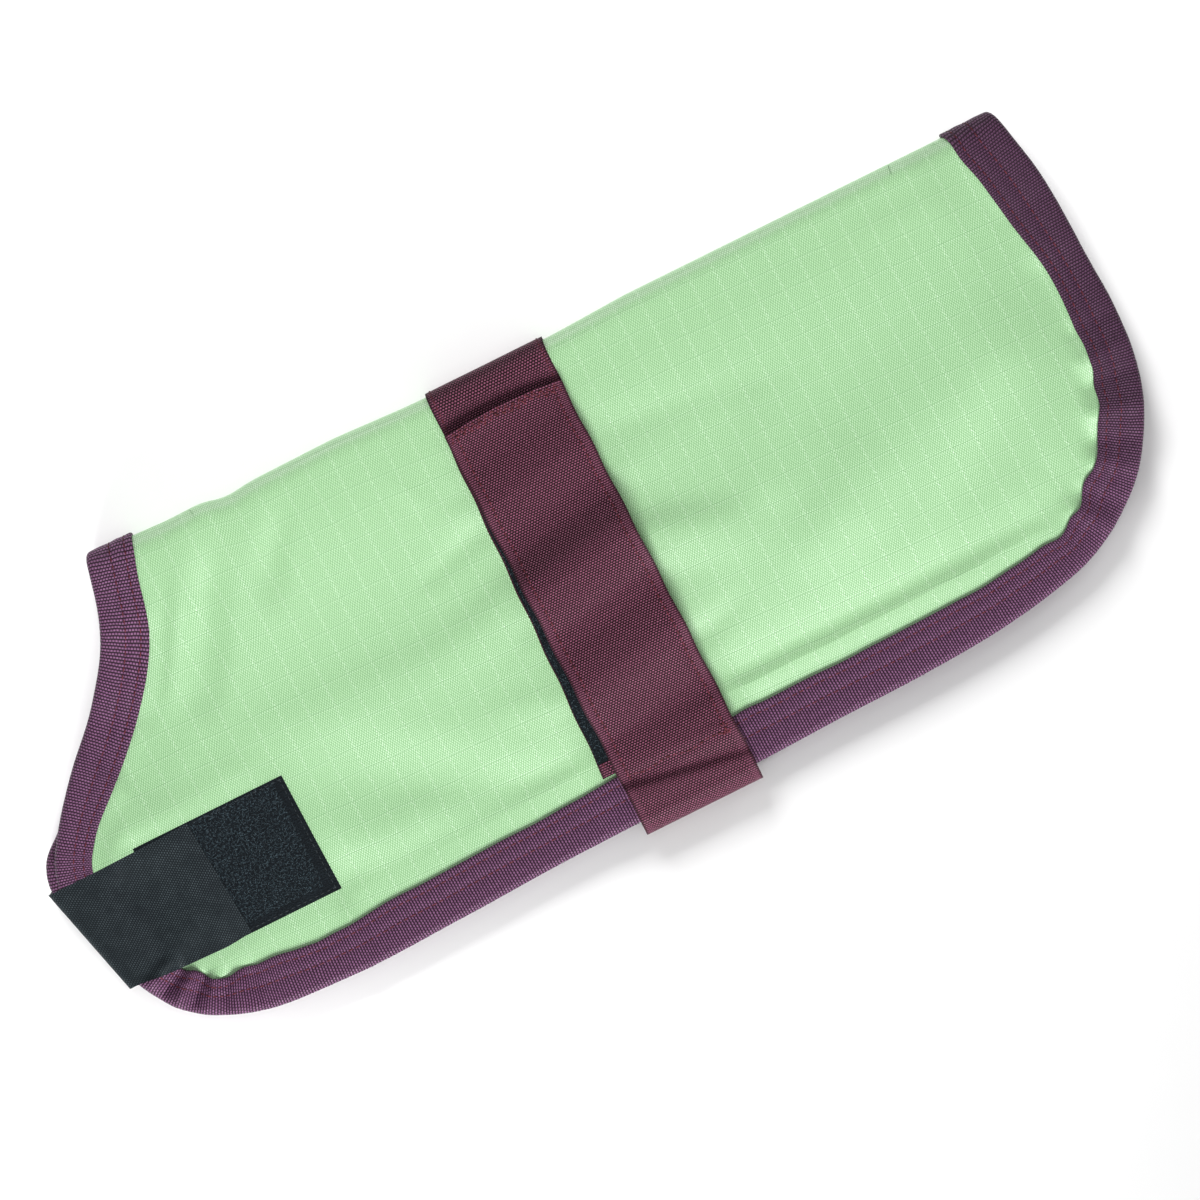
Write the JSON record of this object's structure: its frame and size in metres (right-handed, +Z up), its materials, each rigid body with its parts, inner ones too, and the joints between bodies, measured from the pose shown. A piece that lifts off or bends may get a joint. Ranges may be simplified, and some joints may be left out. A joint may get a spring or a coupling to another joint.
{
  "type": "folded dog blanket coat",
  "caption": "Padded dog coat with bound edges, a back band, a belly strap and a chest tab, folded in half along its back and laid flat.",
  "frame": {"origin": "middle of the coat's outline, on the surface that it lies on", "axes": "+X along the back towards the tail, +Y from the hems towards the fold on the back, +Z up from the surface that the coat lies on"},
  "size_m": [0.4888, 0.2021, 0.0217],
  "materials": {
    "coat_ripstop": "light green woven ripstop with a soft satin sheen",
    "binding_webbing": "dark purple cross-ribbed binding tape",
    "strap_webbing": "dark plum plain-woven flat webbing",
    "loop_tape": "black loop pile",
    "black_elastic": "slate black finely woven elastic",
    "lining": "dark matt lining and wadding, hidden"
  },
  "bodies": {
    "root": {"coat_shell": "coat_ripstop", "folded_layers": "lining", "neck_binding": "binding_webbing", "hem_binding": "binding_webbing", "back_band": "strap_webbing", "belly_strap": "strap_webbing", "strap_loop_strip": "loop_tape", "chest_loop_patch": "loop_tape", "chest_tab": "black_elastic"}
  },
  "joints": []
}
